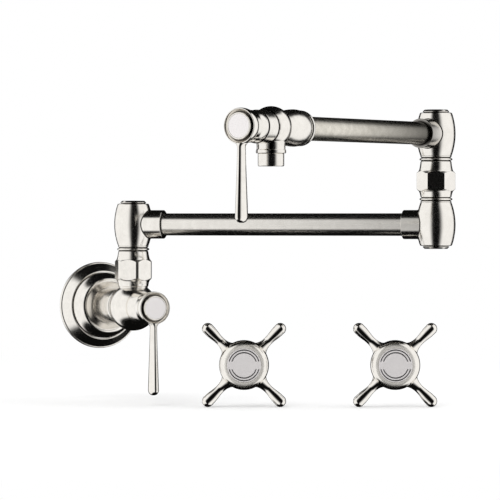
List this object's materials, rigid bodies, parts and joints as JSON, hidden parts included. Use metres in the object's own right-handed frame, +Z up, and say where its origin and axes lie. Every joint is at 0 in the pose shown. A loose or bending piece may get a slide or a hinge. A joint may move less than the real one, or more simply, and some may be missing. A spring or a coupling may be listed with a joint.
{
  "type": "wall mounted pot filler",
  "caption": "Folding wall spout for filling pots: flanged valve body, double-jointed arm on tall swivels, straight lever valves and loose cross handles.",
  "frame": {"origin": "centre of the threaded wall inlet, on the plane of the finished wall", "axes": "+Y points into the wall along the inlet, +Z is up, +X is to the right of someone who faces the wall; the spout is folded as in the picture"},
  "size_m": [0.2715, 0.4177, 0.2372],
  "materials": {
    "nickel_brushed": "brushed nickel plating",
    "nickel_polished": "nickel plating, polished brighter than the body",
    "disc_satin": "plain satin metal disc, left blank",
    "stainless": "plain stainless steel",
    "brass": "machined brass",
    "rubber": "black seal rubber",
    "cartridge_plastic": "moulded white plastic",
    "aerator_plastic": "moulded pale grey plastic"
  },
  "bodies": {
    "wall_side": {"mounting_plate": "stainless", "shank_nut": "brass", "wall_gasket": "rubber", "flange_base": "nickel_brushed", "flange_dome": "nickel_brushed", "neck_sleeve": "nickel_brushed", "neck_ring": "nickel_brushed", "inlet_body": "nickel_brushed", "inlet_bonnet": "nickel_brushed", "inlet_cartridge": "cartridge_plastic", "inlet_cartridge_seal": "rubber", "base_swivel_fitting": "nickel_brushed", "base_swivel_seals": "rubber", "base_retaining_clip": "stainless", "left_cross_handle_body": "nickel_polished", "left_cross_handle_disc": "disc_satin", "left_cross_handle_insert": "brass", "right_cross_handle_body": "nickel_polished", "right_cross_handle_disc": "disc_satin", "right_cross_handle_insert": "brass"},
    "lower_arm": {"inner_barrel": "nickel_brushed", "inner_barrel_cap": "nickel_brushed", "base_swivel_ring": "nickel_brushed", "inner_collar": "nickel_brushed", "lower_tube": "nickel_brushed", "outer_collar": "nickel_brushed", "elbow_barrel": "nickel_brushed", "elbow_barrel_cap": "nickel_brushed", "elbow_bead_ring": "nickel_brushed", "elbow_swivel_fitting": "nickel_brushed", "elbow_swivel_seals": "rubber", "elbow_retaining_clip": "stainless"},
    "upper_arm": {"upper_barrel": "nickel_brushed", "upper_barrel_cap": "nickel_brushed", "elbow_swivel_ring": "nickel_brushed", "upper_collar": "nickel_brushed", "upper_tube": "nickel_brushed", "outlet_coupling": "nickel_brushed", "coupling_lip_ring": "nickel_brushed", "outlet_body": "nickel_brushed", "outlet_bonnet": "nickel_brushed", "outlet_cartridge": "cartridge_plastic", "outlet_cartridge_seal": "rubber", "aerator_housing": "nickel_brushed", "aerator_insert": "aerator_plastic", "aerator_gasket": "rubber"},
    "inlet_lever": {"inlet_lever_hub": "nickel_polished", "inlet_lever_rod": "nickel_polished", "inlet_lever_button": "disc_satin", "inlet_lever_screw": "stainless", "inlet_valve_stem": "brass"},
    "outlet_lever": {"outlet_lever_hub": "nickel_polished", "outlet_lever_rod": "nickel_polished", "outlet_lever_button": "disc_satin", "outlet_lever_screw": "stainless", "outlet_valve_stem": "brass"}
  },
  "joints": [
    {"name": "base_swivel", "type": "hinge", "parent": "wall_side", "child": "lower_arm", "pos_m": [0, -0.072, 0.0673], "axis": [0, 0, 1], "range_deg": [-138, 41.8]},
    {"name": "elbow_swivel", "type": "hinge", "parent": "lower_arm", "child": "upper_arm", "pos_m": [0.18935, -0.2413, 0.1394], "axis": [0, 0, 1], "range_deg": [-67, 277]},
    {"name": "inlet_lever_turn", "type": "hinge", "parent": "wall_side", "child": "inlet_lever", "pos_m": [0, -0.072, 0], "axis": [0, -1, 0], "range_deg": [0, 90]},
    {"name": "outlet_lever_turn", "type": "hinge", "parent": "upper_arm", "child": "outlet_lever", "pos_m": [-0.02209, -0.38205, 0.1394], "axis": [-0.8324, -0.5541, 0], "range_deg": [0, 90]}
  ]
}
